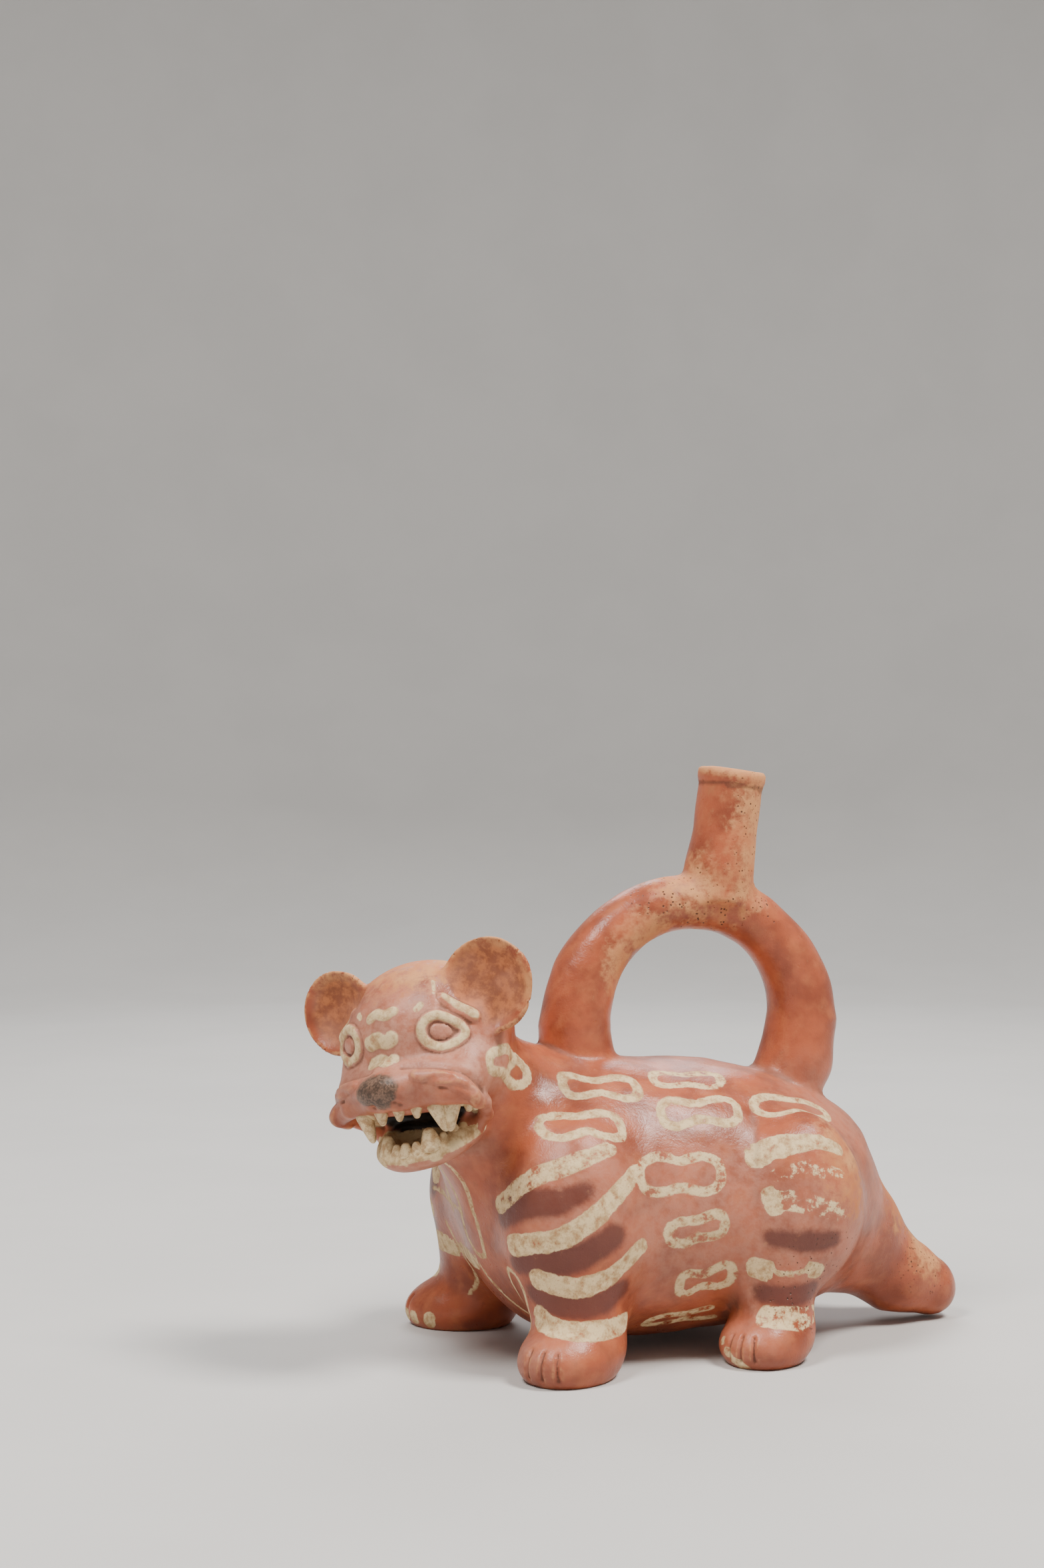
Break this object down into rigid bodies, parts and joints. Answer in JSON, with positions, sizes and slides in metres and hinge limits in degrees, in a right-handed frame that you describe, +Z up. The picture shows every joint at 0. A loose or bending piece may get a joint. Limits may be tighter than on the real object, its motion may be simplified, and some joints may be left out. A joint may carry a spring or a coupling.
{
  "type": "stirrup spout vessel",
  "caption": "Hollow fired-clay stirrup spout vessel shaped as a standing feline, with an arched tubular handle that carries the pouring spout.",
  "frame": {"origin": "on the surface it stands on, under the middle of its bounding box", "axes": "+X from the head towards the tail, +Y towards the animal's right side, +Z up"},
  "size_m": [0.2352, 0.1176, 0.1987],
  "materials": {
    "slipped_clay": null
  },
  "bodies": {
    "root": {"vessel": "slipped_clay"}
  },
  "joints": []
}
